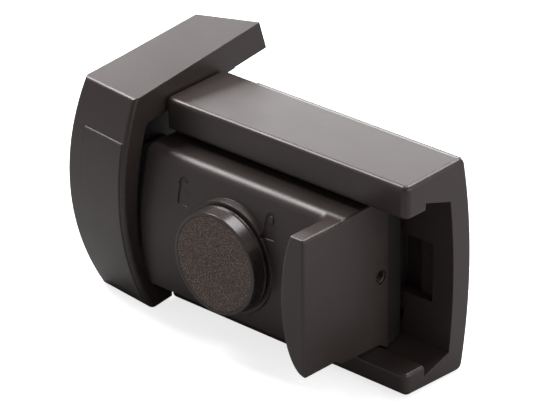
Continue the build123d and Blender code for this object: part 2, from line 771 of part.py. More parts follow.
# Plastic glides let into the dovetail's two edges
with BuildPart() as slide_glides:
    with BuildSketch(Plane.YZ.offset(slide_left + glide_end_inset)):
        glide_start_y = slide_back_y + glide_step
        glide_end_y = slide_back_y + glide_step + glide_width
        for groove, inwards in ((groove_top, -1), (groove_low, 1)):
            Polygon(
                (glide_start_y, groove(glide_start_y) + inwards * (glide_gap + glide_thickness)),
                (glide_end_y, groove(glide_end_y) + inwards * (glide_gap + glide_thickness)),
                (glide_end_y, groove(glide_end_y) + inwards * glide_gap),
                (glide_start_y, groove(glide_start_y) + inwards * glide_gap),
                align=None,
            )
    extrude(amount=slide_length - 2 * glide_end_inset)
slide_glides.part.label = "slide_glides"
export_step(slide_glides.part, "parts/slide_glides.step")

# Knob with a recess for its insert, a square socket and the screw's seat
with BuildPart() as knob:
    rim_inner = knob_radius - knob_height * tan(radians(knob_draft)) - knob_rim
    with BuildSketch(Plane(origin=(knob_x, 0, knob_z), x_dir=(1, 0, 0), z_dir=(0, 0, 1))):
        with BuildLine():
            Polyline(
                (0, lip_face + knob_front),
                (rim_inner, lip_face + knob_front),
                (rim_inner + knob_rim, lip_face + knob_front + knob_rim_slope),
                (knob_radius, lip_face + knob_back),
                (0, lip_face + knob_back),
                close=True,
            )
        make_face()
    revolve(axis=Axis((knob_x, 0, knob_z), (0, 1, 0)))
    rims = knob.edges().filter_by(GeomType.CIRCLE).sort_by(Axis.Y)
    fillet(rims[1], knob_edge_round)
    fillet(knob.edges().filter_by(GeomType.CIRCLE).sort_by(Axis.Y)[-1], knob_foot_round)
    with BuildSketch(depth_plane(insert_back)):
        with Locations((knob_x, knob_z)):
            Circle(rim_inner)
    extrude(amount=insert_back - knob_front, mode=Mode.SUBTRACT)
    screw_seat = insert_back + knob_screw_head_height + running_gap
    with BuildSketch(depth_plane(screw_seat)):
        with Locations((knob_x, knob_z)):
            Circle(knob_screw_head_radius + running_gap)
    extrude(amount=screw_seat - insert_back, mode=Mode.SUBTRACT)
    with BuildSketch(depth_plane(knob_back)):
        with Locations((knob_x, knob_z)):
            Rectangle(spindle_square + 2 * static_gap, spindle_square + 2 * static_gap)
    extrude(amount=spindle_socket, mode=Mode.SUBTRACT)
    with BuildSketch(depth_plane(knob_back)):
        with Locations((knob_x, knob_z)):
            Circle(knob_screw_radius + running_gap)
    extrude(amount=knob_back - screw_seat, mode=Mode.SUBTRACT)
knob.part.label = "knob"
export_step(knob.part, "parts/knob.step")

# Textured insert in the knob's face
with BuildPart() as knob_insert:
    with BuildSketch(depth_plane(insert_back)):
        with Locations((knob_x, knob_z)):
            Circle(rim_inner - static_gap)
    extrude(amount=insert_thickness)
knob_insert.part.label = "knob_insert"
export_step(knob_insert.part, "parts/knob_insert.step")

# Screw that ties the knob to the spindle, behind the insert
with BuildPart() as knob_screw:
    with BuildSketch(depth_plane(screw_seat)):
        with Locations((knob_x, knob_z)):
            Circle(knob_screw_head_radius)
    extrude(amount=knob_screw_head_height)
    with BuildSketch(depth_plane(screw_seat)):
        with Locations((knob_x, knob_z)):
            Circle(knob_screw_radius)
    extrude(amount=-knob_screw_length)
    with BuildSketch(depth_plane(screw_seat - knob_screw_head_height)):
        with Locations((knob_x, knob_z)):
            RegularPolygon(knob_screw_radius, 6)
    extrude(amount=-knob_screw_head_height / 2, mode=Mode.SUBTRACT)
knob_screw.part.label = "knob_screw"
export_step(knob_screw.part, "parts/knob_screw.step")

# Seal ring between the boss and the knob
with BuildPart() as knob_seal:
    with BuildSketch(depth_plane(knob_boss_depth + seal_groove)):
        with Locations((knob_x, knob_z)):
            Circle(seal_radius + seal_width - running_gap)
            Circle(seal_radius + running_gap, mode=Mode.SUBTRACT)
    extrude(amount=seal_groove + seal_proud)
knob_seal.part.label = "knob_seal"
export_step(knob_seal.part, "parts/knob_seal.step")

# Spindle: square in the knob, round in the bush and the cam, thin in the guide plate
with BuildPart() as spindle:
    shoulder_end = clip_front + clip_thickness + spindle_shoulder
    with BuildSketch(depth_plane(knob_back)):
        with Locations((knob_x, knob_z)):
            Rectangle(spindle_square, spindle_square)
    extrude(amount=spindle_socket - running_gap)
    with BuildSketch(depth_plane(shoulder_end)):
        with Locations((knob_x, knob_z)):
            Circle(spindle_radius)
    extrude(amount=shoulder_end - knob_back)
    with BuildSketch(depth_plane(rear_bush_back - running_gap)):
        with Locations((knob_x, knob_z)):
            Circle(spindle_tail_radius)
    extrude(amount=rear_bush_back - running_gap - shoulder_end)
    with BuildSketch(depth_plane(clip_front + clip_thickness + static_gap)):
        with Locations((knob_x, knob_z)):
            Circle(spindle_radius + overcut)
            Circle(spindle_radius - clip_groove, mode=Mode.SUBTRACT)
    extrude(amount=clip_thickness + 2 * static_gap, mode=Mode.SUBTRACT)
    screw_end = screw_seat + knob_screw_length + running_gap
    with BuildSketch(depth_plane(screw_end)):
        with Locations((knob_x, knob_z)):
            Circle(knob_screw_radius + static_gap)
    extrude(amount=screw_end - socket_end, mode=Mode.SUBTRACT)
spindle.part.label = "spindle"
export_step(spindle.part, "parts/spindle.step")

# Flanged bush for the spindle in the slide's front wall
with BuildPart() as spindle_bush:
    with BuildSketch(depth_plane(wall_inner)):
        with Locations((knob_x, knob_z)):
            Circle(bush_radius)
    extrude(amount=wall_inner - knob_boss_depth)
    with BuildSketch(depth_plane(wall_inner + bush_flange)):
        with Locations((knob_x, knob_z)):
            Circle(bush_flange_radius)
    extrude(amount=bush_flange)
    with BuildSketch(depth_plane(wall_inner + bush_flange)):
        with Locations((knob_x, knob_z)):
            Circle(spindle_radius + running_gap)
    extrude(amount=wall_inner + bush_flange - knob_boss_depth, mode=Mode.SUBTRACT)
spindle_bush.part.label = "spindle_bush"
export_step(spindle_bush.part, "parts/spindle_bush.step")

# Plain bush for the spindle's thin end, in the guide plate
with BuildPart() as rear_bush:
    with BuildSketch(depth_plane(rear_bush_back)):
        with Locations((knob_x, knob_z)):
            Circle(rear_bush_radius)
            Circle(spindle_tail_radius + running_gap, mode=Mode.SUBTRACT)
    extrude(amount=rear_bush_length)
rear_bush.part.label = "rear_bush"
export_step(rear_bush.part, "parts/rear_bush.step")

# Washer between the bush's flange and the cam
with BuildPart() as thrust_washer:
    with BuildSketch(depth_plane(washer_front + washer_thickness)):
        with Locations((knob_x, knob_z)):
            Circle(washer_radius)
            Circle(spindle_radius + running_gap, mode=Mode.SUBTRACT)
    extrude(amount=washer_thickness)
thrust_washer.part.label = "thrust_washer"
export_step(thrust_washer.part, "parts/thrust_washer.step")

# One ramp of the cam: a sector of a ring under a tilted plane, with a level stretch at its top
with BuildPart() as cam_ramp:
    ramp_end = ramp_turn + ramp_dwell
    ramp_corner = 2 * ramp_radius
    ramp_slope = ramp_rise / (2 * sin(radians(ramp_turn / 2))) / ramp_radius
    with BuildSketch(depth_plane(cam_back)):
        with Locations((knob_x, knob_z)):
            Circle(ramp_radius + ramp_width / 2)
            Circle(ramp_radius - ramp_width / 2, mode=Mode.SUBTRACT)
            Polygon(
                (0, 0),
                (ramp_corner, 0),
                (ramp_corner * cos(radians(ramp_end / 2)), ramp_corner * sin(radians(ramp_end / 2))),
                (ramp_corner * cos(radians(ramp_end)), ramp_corner * sin(radians(ramp_end))),
                align=None,
                mode=Mode.INTERSECT,
            )
    extrude(amount=-ramp_rise)
    ramp_across = (-sin(radians(ramp_turn / 2)), cos(radians(ramp_turn / 2)))
    ramp_plane = Plane(
        origin=(knob_x, lip_face + cam_back + ramp_rise / 2, knob_z),
        z_dir=(-ramp_slope * ramp_across[0], 1, -ramp_slope * ramp_across[1]),
    )
    split(bisect_by=ramp_plane, keep=Keep.BOTTOM)

# Cam on the spindle: two ramps that push the locking plate back
with BuildPart() as cam:
    with BuildSketch(depth_plane(cam_back)):
        with Locations((knob_x, knob_z)):
            Circle(cam_radius)
    extrude(amount=cam_thickness)
    with BuildSketch(depth_plane(hub_back)):
        with Locations((knob_x, knob_z)):
            Circle(cam_hub_radius)
    extrude(amount=cam_hub_length)
    add(cam_ramp.part)
    add(cam_ramp.part.rotate(Axis((knob_x, 0, knob_z), (0, 1, 0)), 180))
    with BuildSketch(depth_plane(hub_back)):
        with Locations((knob_x, knob_z)):
            Circle(spindle_radius + static_gap)
    extrude(amount=cam_thickness + cam_hub_length, mode=Mode.SUBTRACT)
    track_half_width = sqrt(detent_ball_radius**2 - (detent_ball_radius - detent_reach) ** 2) + detent_gap
    with BuildSketch(depth_plane(cam_front)):
        with Locations((knob_x, knob_z)):
            Circle(detent_offset + track_half_width)
            Circle(detent_offset - track_half_width, mode=Mode.SUBTRACT)
    extrude(amount=-(detent_reach + detent_gap), mode=Mode.SUBTRACT)
    with Locations(depth_plane(detent_centre)):
        with Locations((knob_x, knob_z + detent_offset), (knob_x - detent_offset, knob_z)):
            Sphere(detent_ball_radius + detent_notch, mode=Mode.SUBTRACT)
cam.part.label = "cam"
export_step(cam.part, "parts/cam.step")

# Spring clip in the spindle's groove, behind the cam
with BuildPart() as spindle_clip:
    with BuildSketch(depth_plane(clip_front + clip_thickness)):
        with Locations((knob_x, knob_z)):
            Circle(clip_radius)
            Circle(spindle_radius - clip_groove + static_gap, mode=Mode.SUBTRACT)
        with Locations((knob_x, knob_z - clip_radius)):
            Rectangle(clip_opening, 2 * clip_radius, mode=Mode.SUBTRACT)
    extrude(amount=clip_thickness)
spindle_clip.part.label = "spindle_clip"
export_step(spindle_clip.part, "parts/spindle_clip.step")

# Locking plate: two pegs that ride the cam's ramps, and the tooth that enters the rail's pockets
with BuildPart() as locking_plate:
    tooth_end_x = tooth_x + tooth_width / 2
    with BuildSketch(depth_plane(plate_back)):
        with Locations((knob_x, knob_z)):
            Circle(plate_radius)
        with Locations(((knob_x + tooth_end_x) / 2, tooth_z)):
            Rectangle(tooth_end_x - knob_x, tooth_height)
        with Locations((knob_x, knob_z)):
            Circle(spindle_tail_radius + running_gap, mode=Mode.SUBTRACT)
    extrude(amount=plate_thickness)
    with BuildSketch(depth_plane(plate_front)):
        with Locations((knob_x - ramp_radius, knob_z), (knob_x + ramp_radius, knob_z)):
            Circle(peg_radius)
    extrude(amount=plate_gap - peg_gap)
    with BuildSketch(depth_plane(tooth_tip)):
        with Locations((tooth_x, tooth_z)):
            Rectangle(tooth_width, tooth_height)
    extrude(amount=tooth_tip - plate_back)
locking_plate.part.label = "locking_plate"
export_step(locking_plate.part, "parts/locking_plate.step")

# Return springs between the locking plate and the guide plate
with BuildPart() as return_springs:
    spring_start = plate_back + return_spring_wire / 2
    spring_length = slide_back_depth + return_spring_seat - plate_back - return_spring_wire
    coil_radius = return_spring_radius - return_spring_wire / 2
    for spring_x in (knob_x - return_spring_offset, knob_x + return_spring_offset):
        spring_foot = (spring_x, lip_face + spring_start, knob_z)
        with BuildLine():
            coil = Helix(
                spring_length / return_spring_turns,
                spring_length,
                coil_radius,
                center=spring_foot,
                direction=(0, 1, 0),
            )
        with BuildSketch(Plane(origin=coil @ 0, z_dir=coil % 0)):
            Circle(return_spring_wire / 2)
        sweep(path=coil, is_frenet=True)
return_springs.part.label = "return_springs"
export_step(return_springs.part, "parts/return_springs.step")

# Detent ball and the spring behind it, in the slide's front wall
with BuildPart() as detent_ball:
    with Locations(depth_plane(detent_centre)):
        with Locations((knob_x, knob_z + detent_offset)):
            Sphere(detent_ball_radius)
detent_ball.part.label = "detent_ball"
export_step(detent_ball.part, "parts/detent_ball.step")

with BuildPart() as detent_spring:
    detent_coil_length = detent_spring_length - detent_spring_wire
    detent_coil_front = detent_spring_back - detent_spring_length + detent_spring_wire / 2
    with BuildLine():
        coil = Helix(
            detent_coil_length / detent_spring_turns,
            detent_coil_length,
            detent_ball_radius - detent_spring_wire / 2,
            center=(knob_x, lip_face + detent_coil_front, knob_z + detent_offset),
            direction=(0, 1, 0),
        )
    with BuildSketch(Plane(origin=coil @ 0, z_dir=coil % 0)):
        Circle(detent_spring_wire / 2)
    sweep(path=coil, is_frenet=True)
detent_spring.part.label = "detent_spring"
export_step(detent_spring.part, "parts/detent_spring.step")

# Stop pin in the guide plate, which runs in the rail's slot
with BuildPart() as stop_pin:
    pin_tip = guide_back_depth + stop_pin_reach
    with BuildSketch(depth_plane(pin_tip)):
        with Locations((stop_pin_x, stop_pin_z)):
            Circle(stop_pin_radius)
    extrude(amount=pin_tip - slide_back_depth)
stop_pin.part.label = "stop_pin"
export_step(stop_pin.part, "parts/stop_pin.step")
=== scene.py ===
"""Window bar lock, dressed for its picture: a satin painted rail, slide, knob and keeper.

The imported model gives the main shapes. This script gives them their finishes, puts the thread's
ridge into the slide's end, and makes the knob, its grained insert and the return springs again.
Everything is in metres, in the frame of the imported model, and mm turns millimetres into metres.
"""
import json
from math import cos, pi, radians, sin, tan

import bpy
from mathutils import Matrix, Vector


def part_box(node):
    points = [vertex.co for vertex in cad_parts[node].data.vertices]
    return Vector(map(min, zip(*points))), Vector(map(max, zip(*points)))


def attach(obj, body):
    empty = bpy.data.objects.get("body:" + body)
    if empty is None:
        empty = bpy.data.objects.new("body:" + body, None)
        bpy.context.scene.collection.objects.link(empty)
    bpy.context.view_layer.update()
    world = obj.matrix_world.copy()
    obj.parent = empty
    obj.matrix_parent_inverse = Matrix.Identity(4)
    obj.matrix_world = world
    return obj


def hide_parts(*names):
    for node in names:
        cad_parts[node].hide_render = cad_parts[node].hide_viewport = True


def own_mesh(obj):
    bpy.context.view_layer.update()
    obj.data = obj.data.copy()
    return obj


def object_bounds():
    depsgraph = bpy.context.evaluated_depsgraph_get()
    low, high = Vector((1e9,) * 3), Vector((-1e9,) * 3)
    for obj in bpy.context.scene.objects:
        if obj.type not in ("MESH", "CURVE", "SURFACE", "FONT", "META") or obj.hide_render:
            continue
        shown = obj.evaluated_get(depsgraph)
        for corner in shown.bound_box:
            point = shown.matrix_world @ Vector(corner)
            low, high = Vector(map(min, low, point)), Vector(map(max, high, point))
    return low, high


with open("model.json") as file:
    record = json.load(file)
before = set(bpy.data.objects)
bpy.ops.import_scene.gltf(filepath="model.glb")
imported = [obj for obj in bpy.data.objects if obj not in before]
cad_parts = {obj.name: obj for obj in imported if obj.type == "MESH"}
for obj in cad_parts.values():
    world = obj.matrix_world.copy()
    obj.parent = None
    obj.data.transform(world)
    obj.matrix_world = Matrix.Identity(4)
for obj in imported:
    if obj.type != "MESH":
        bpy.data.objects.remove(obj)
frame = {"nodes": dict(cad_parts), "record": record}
cad_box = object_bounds()

mm = 0.001
merge_distance = 0.0005 * mm

# The photograph's camera
camera_azimuth = radians(43.263)
camera_elevation = radians(25.98)
camera_roll = radians(0.732)
camera_distance = 897.6 * mm
camera_lens = 227.5
camera_sensor = 36.0
camera_near = 0.01
camera_far = 20.0
camera_aim = Vector((2.25, -36.95, 16.17)) * mm

# The studio: what lights the lock is grey, and what the camera sees is white
lamp_distance = 0.75
studio_grey = 0.21
floor_size = 6.0
floor_white = 0.8
floor_glow = 0.75
floor_grey = 0.34

# Thread in the slide's end, in the hole that the model keeps for it
side_thread = next(mount for mount in frame["record"]["mounts"] if mount["name"] == "side_thread")
thread_mouth = Vector(side_thread["pos_m"])
thread_radius = side_thread["dims"]["r_mm"] * mm
thread_depth = 0.42 * mm
thread_pitch = 0.7 * mm
thread_turns = 10
thread_steps = 36
thread_half_base = 0.4 * thread_pitch
thread_sunk = 0.04 * mm
thread_mouth_gap = 0.6 * mm

# Dark stove paint, a darker copy of it as painted shade on the guide plate, and the hue of its gloss
paint_colour = (0.034, 0.0255, 0.023)
# Darker paint: painted shade for the guide plate, which sits deep in the rail's channel behind its lips
shaded_paint_colour = (0.012, 0.010, 0.009)
gloss_tint = (1.0, 0.935, 0.945)
paint_index = 1.5
paint_bump = 0.6
paint_relief = 0.02 * mm
knob_paint_relief = 0.008 * mm
paint_sheen_change = 0.04
speck_lift = 1.6
edge_round = 0.35 * mm
edge_samples = 4

# The other finishes
insert_hollow_colour = (0.022, 0.015, 0.013)
insert_ridge_colour = (0.24, 0.165, 0.135)
insert_bump = 0.9
insert_relief = 0.12 * mm
zinc_colour = (0.62, 0.62, 0.64)
brass_colour = (0.72, 0.5, 0.22)
metal_bump = 0.4
metal_relief = 0.01 * mm
metal_shinier = 0.08
metal_duller = 0.1
line_stretch = (0.08, 1.0, 0.08)
nylon_colour = (0.022, 0.021, 0.02)
rubber_colour = (0.014, 0.014, 0.014)
moulded_bump = 0.5
moulded_relief = 0.02 * mm
moulded_sheen_change = 0.08

# Patterns: how fine each one is, as grains, clouds or lines in a metre
paint_grains = 2600.0
paint_ripples = 420.0
paint_clouds = 70.0
paint_dots = 1500.0
dot_clouds = 900.0
insert_grains = 3400.0
insert_cells = 2500.0
turning_lines = 5200.0
metal_smears = 300.0
moulded_skin = 3200.0
moulded_clouds = 120.0

# Knob: how far its side leans in, its foot, its edges and the seat of its insert
knob_lean = 0.5 * mm
knob_rim_round = 0.4 * mm
knob_foot_step = 0.25 * mm
knob_foot_height = 0.9 * mm
knob_seat_gap = 0.08 * mm
knob_steps = 192
rim_steps = 4
rim_margin = 0.3 * mm
same_level = 0.01 * mm

# Grain of the knob's insert
grain_rings = 68
grain_steps = 288
grain_height = 0.22 * mm
grain_size = 0.34 * mm
grain_depth = 3
grain_level = 0.62
plain_rings = 1.5

# Places taken from the model
knob_low, knob_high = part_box("knob")
insert_low, insert_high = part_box("knob_insert")
knob_centre = (knob_low + knob_high) / 2
insert_radius = (insert_high.x - insert_low.x) / 2


def deselect():
    """Nothing selected and nothing active, so that the next operator acts on its own piece only."""
    if bpy.context.object and bpy.context.object.mode != "OBJECT":
        bpy.ops.object.mode_set(mode="OBJECT")
    bpy.ops.object.select_all(action="DESELECT")
    bpy.context.view_layer.objects.active = None


def pick(piece):
    """Selects one piece alone."""
    deselect()
    piece.select_set(True)
    bpy.context.view_layer.objects.active = piece


def settle(piece, name):
    """Names a piece and moves its place into its mesh."""
    pick(piece)
    bpy.ops.object.transform_apply(location=True, rotation=True, scale=True)
    piece.name = name
    piece.data.name = name
    return piece


def apply_modifiers(piece):
    pick(piece)
    for modifier in list(piece.modifiers):
        bpy.ops.object.modifier_apply(modifier=modifier.name)


def smooth(piece, angle):
    pick(piece)
    bpy.ops.object.shade_smooth_by_angle(angle=radians(angle))


def choose(piece, kind, test):
    """In edit mode, selects the faces or edges that pass the test, and no others."""
    bpy.ops.mesh.select_mode(type=kind)
    bpy.ops.mesh.select_all(action="DESELECT")
    bpy.ops.object.mode_set(mode="OBJECT")
    parts = {"EDGE": piece.data.edges, "FACE": piece.data.polygons}[kind]
    for part in parts:
        part.select = test(part)
    bpy.ops.object.mode_set(mode="EDIT")


def is_front(face):
    """True for a face that looks away from the window."""
    return face.normal.y < -0.9


def off_axis(point, middle):
    """A point's distance from the line through middle along Y."""
    return Vector((point.x - middle.x, point.z - middle.z)).length


def set_right(piece):
    """Merges doubled corners and turns every face outwards."""
    pick(piece)
    bpy.ops.object.mode_set(mode="EDIT")
    bpy.ops.mesh.select_all(action="SELECT")
    bpy.ops.mesh.remove_doubles(threshold=merge_distance)
    bpy.ops.mesh.normals_make_consistent(inside=False)
    bpy.ops.object.mode_set(mode="OBJECT")


# Nodes of the finishes


def new_group(name, inputs, outputs):
    """A node group with its sockets, and its input and output nodes."""
    group = bpy.data.node_groups.new(name, "ShaderNodeTree")
    for socket, default in inputs:
        kind = "NodeSocketVector" if socket == "Vector" else "NodeSocketFloat"
        kind = "NodeSocketColor" if "Colour" in socket else kind
        made = group.interface.new_socket(socket, in_out="INPUT", socket_type=kind)
        if default is not None:
            made.default_value = default
    for socket in outputs:
        kind = "NodeSocketColor" if "Colour" in socket else "NodeSocketFloat"
        group.interface.new_socket(socket, in_out="OUTPUT", socket_type=kind)
    return group, group.nodes.new("NodeGroupInput"), group.nodes.new("NodeGroupOutput")


def node(tree, kind, links=None, **settings):
    """A node with its settings, and its inputs joined or filled in."""
    made = tree.nodes.new(kind)
    for name, value in settings.items():
        setattr(made, name, value)
    for socket, source in (links or {}).items():
        if isinstance(source, bpy.types.NodeSocket):
            tree.links.new(source, made.inputs[socket])
        else:
            made.inputs[socket].default_value = source
    return made


def noise(tree, vector, scale, detail=2.0, rough=0.5):
    pattern = {"Vector": vector, "Scale": scale, "Detail": detail, "Roughness": rough}
    return node(tree, "ShaderNodeTexNoise", pattern).outputs["Fac"]


def cells(tree, vector, scale):
    """Scattered cells, as the distance from their middles."""
    pattern = {"Vector": vector, "Scale": scale}
    return node(tree, "ShaderNodeTexVoronoi", pattern, feature="F1").outputs["Distance"]


def maths(tree, operation, first, second):
    return node(tree, "ShaderNodeMath", {0: first, 1: second}, operation=operation).outputs[0]


def remap(tree, value, start=0.0, end=1.0, low=0.0, high=1.0):
    """Takes start to low and end to high, and holds both ends."""
    span = {"Value": value, "From Min": start, "From Max": end, "To Min": low, "To Max": high}
    return node(tree, "ShaderNodeMapRange", span, clamp=True).outputs["Result"]


def bump(tree, height, strength, relief, normal=None):
    """Fine relief, on the surface's own normal or on the one that is given."""
    links = {"Height": height, "Strength": strength, "Distance": relief}
    if normal is not None:
        links["Normal"] = normal
    return node(tree, "ShaderNodeBump", links).outputs["Normal"]


def make_paint_grain():
    """Fine texture of stove paint: height of the grain, patchy sheen, and lone bright specks."""
    inputs = [("Vector", None), ("Specks", 0.5)]
    group, entry, out = new_group("paint grain", inputs, ["Height", "Sheen", "Speck"])
    vector = entry.outputs["Vector"]
    grain = maths(group, "MULTIPLY", noise(group, vector, paint_grains, detail=3.0, rough=0.6), 0.6)
    height = maths(group, "ADD", grain, noise(group, vector, paint_ripples))
    sheen = noise(group, vector, paint_clouds, detail=3.0, rough=0.6)
    dots = remap(group, cells(group, vector, paint_dots), start=0.22, end=0.05)
    chance = remap(group, noise(group, vector, dot_clouds, detail=1.0), start=0.54, end=0.68)
    speck = maths(group, "MULTIPLY", dots, chance)
    speck = maths(group, "MULTIPLY", speck, entry.outputs["Specks"])
    group.links.new(height, out.inputs["Height"])
    group.links.new(sheen, out.inputs["Sheen"])
    group.links.new(speck, out.inputs["Speck"])
    return group


def make_tint():
    """A base colour that drifts a little over the surface and lightens at specks."""
    inputs = [("Colour", (0.05, 0.05, 0.05, 1)), ("Drift", 0.5), ("Speck", 0.0), ("Amount", 0.15)]
    group, entry, out = new_group("tint", inputs, ["Colour"])
    shift = maths(group, "SUBTRACT", entry.outputs["Drift"], 0.5)
    shift = maths(group, "MULTIPLY", shift, entry.outputs["Amount"])
    value = maths(group, "ADD", shift, 1.0)
    lift = maths(group, "MULTIPLY", entry.outputs["Speck"], speck_lift)
    value = maths(group, "ADD", value, lift)
    tinted = node(group, "ShaderNodeHueSaturation", {"Color": entry.outputs["Colour"], "Value": value})
    group.links.new(tinted.outputs["Color"], out.inputs["Colour"])
    return group


paint_grain = make_paint_grain()
tint = make_tint()


def new_material(name):
    """A material with its node tree, its shader and the place of each point on the piece."""
    material = bpy.data.materials.new(name)
    material.use_nodes = True
    tree = material.node_tree
    place = tree.nodes.new("ShaderNodeTexCoord").outputs["Object"]
    return material, tree, tree.nodes["Principled BSDF"], place


def tinted_colour(tree, colour, drift, amount, speck=0.0):
    links = {"Colour": (*colour, 1), "Drift": drift, "Speck": speck, "Amount": amount}
    return node(tree, "ShaderNodeGroup", links, node_tree=tint).outputs["Colour"]


def cover(tree, shader, colour, rough, normal):
    """Joins a finish's colour, roughness and relief to its shader."""
    tree.links.new(colour, shader.inputs["Base Color"])
    tree.links.new(rough, shader.inputs["Roughness"])
    tree.links.new(normal, shader.inputs["Normal"])


def satin_paint(name, colour, roughness, specks=0.5, relief=paint_relief):
    """Dark stove paint over die-cast zinc."""
    material, tree, shader, place = new_material(name)
    texture = node(tree, "ShaderNodeGroup", {"Vector": place, "Specks": specks}, node_tree=paint_grain)
    sheen = texture.outputs["Sheen"]
    hue = tinted_colour(tree, colour, sheen, amount=0.18, speck=texture.outputs["Speck"])
    smoothest, roughest = roughness - paint_sheen_change, roughness + paint_sheen_change
    rough = remap(tree, sheen, start=0.3, end=0.7, low=smoothest, high=roughest)
    rounded = node(tree, "ShaderNodeBevel", {"Radius": edge_round}, samples=edge_samples)
    normal = bump(tree, texture.outputs["Height"], paint_bump, relief, rounded.outputs["Normal"])
    cover(tree, shader, hue, rough, normal)
    shader.inputs["IOR"].default_value = paint_index
    shader.inputs["Specular Tint"].default_value = (*gloss_tint, 1)
    return material


def grained_disc(name, dark, light):
    """Coarse leather-like grain pressed into the knob's insert."""
    material, tree, shader, place = new_material(name)
    fine = noise(tree, place, insert_grains, detail=3.0, rough=0.7)
    grain = maths(tree, "MULTIPLY", fine, cells(tree, place, insert_cells))
    spots = remap(tree, grain, start=0.14, end=0.46)
    mix = {"Factor": spots, "A": (*dark, 1), "B": (*light, 1)}
    colour = node(tree, "ShaderNodeMix", mix, data_type="RGBA").outputs["Result"]
    rough = remap(tree, spots, low=0.62, high=0.85)
    cover(tree, shader, colour, rough, bump(tree, grain, insert_bump, insert_relief))
    return material


def turned_metal(name, colour, roughness):
    """Plated or turned metal with fine lines round the knob's axis."""
    material, tree, shader, place = new_material(name)
    centred = node(tree, "ShaderNodeMapping", {"Vector": place, "Location": -knob_centre})
    stretch = {"Vector": centred.outputs["Vector"], "Scale": line_stretch}
    stretched = node(tree, "ShaderNodeMapping", stretch)
    lines = noise(tree, stretched.outputs["Vector"], turning_lines)
    smears = noise(tree, place, metal_smears, detail=3.0, rough=0.6)
    hue = tinted_colour(tree, colour, smears, amount=0.25)
    rough = remap(tree, smears, low=roughness - metal_shinier, high=roughness + metal_duller)
    cover(tree, shader, hue, rough, bump(tree, lines, metal_bump, metal_relief))
    shader.inputs["Metallic"].default_value = 1.0
    return material


def moulded(name, colour, roughness):
    """Plain moulded plastic or rubber with a spark-eroded skin."""
    material, tree, shader, place = new_material(name)
    skin = noise(tree, place, moulded_skin)
    hue = tinted_colour(tree, colour, noise(tree, place, moulded_clouds), amount=0.3)
    smoothest, roughest = roughness - moulded_sheen_change, roughness + moulded_sheen_change
    rough = remap(tree, skin, low=smoothest, high=roughest)
    cover(tree, shader, hue, rough, bump(tree, skin, moulded_bump, moulded_relief))
    return material


finishes = {
    "dark_paint": satin_paint("satin paint", paint_colour, roughness=0.34),
    "grained_insert": grained_disc("grained insert", insert_hollow_colour, insert_ridge_colour),
    "steel": turned_metal("zinc plated steel", zinc_colour, roughness=0.34),
    "brass": turned_metal("turned brass", brass_colour, roughness=0.3),
    "nylon": moulded("black nylon", nylon_colour, roughness=0.55),
    "rubber": moulded("black rubber", rubber_colour, roughness=0.8),
}
keeper_paint = satin_paint("satin paint on the keeper", paint_colour, roughness=0.33, specks=1.6)
# The guide plate's paint is darkened as painted shade, for its place deep in the rail's channel
shaded_guide_paint = satin_paint("paint on the guide plate darkened as painted shade", shaded_paint_colour, roughness=0.5)
slide_paint = satin_paint("satin paint on the slide", paint_colour, roughness=0.38)
knob_paint = satin_paint(
    "smooth paint on the knob", paint_colour, roughness=0.27, specks=0.2, relief=knob_paint_relief
)
own_finish = {
    "keeper": keeper_paint,
    "keeper_cover": keeper_paint,
    "guide_plate": shaded_guide_paint,
    "slide_body": slide_paint,
    "knob": knob_paint,
}

for subpart in frame["record"]["subparts"]:
    cad = frame["nodes"][subpart["node"]]
    cad.data.materials.clear()
    cad.data.materials.append(own_finish.get(subpart["node"], finishes[subpart["material_slot"]]))


# Pieces


def make_thread():
    """The thread's ridge: a small triangle that runs round the hole's wall, its base sunk in the wall."""
    deselect()
    bpy.ops.mesh.primitive_circle_add(vertices=3, radius=1, fill_type="NOTHING", location=(0, 0, 0))
    ridge = bpy.context.object
    root = thread_radius + thread_sunk
    crest = thread_radius - thread_depth
    corners = [(-thread_half_base, 0, root), (thread_half_base, 0, root), (0, 0, crest)]
    for vertex, corner in zip(ridge.data.vertices, corners):
        vertex.co = corner
    turns = ridge.modifiers.new("turns", "SCREW")
    turns.axis = "X"
    turns.angle = 2 * pi
    turns.screw_offset = thread_pitch
    turns.iterations = thread_turns
    turns.steps = turns.render_steps = thread_steps
    turns.use_normal_calculate = True
    apply_modifiers(ridge)
    bpy.ops.object.mode_set(mode="EDIT")
    bpy.ops.mesh.select_all(action="DESELECT")
    bpy.ops.mesh.select_mode(type="EDGE")
    bpy.ops.mesh.select_non_manifold()
    bpy.ops.mesh.fill_holes(sides=3)
    bpy.ops.object.mode_set(mode="OBJECT")
    ridge.location = thread_mouth - Vector((thread_turns * thread_pitch + thread_mouth_gap, 0, 0))
    settle(ridge, "end_thread")
    set_right(ridge)
    smooth(ridge, angle=40)
    ridge.data.materials.append(finishes["dark_paint"])
    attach(ridge, "slide")


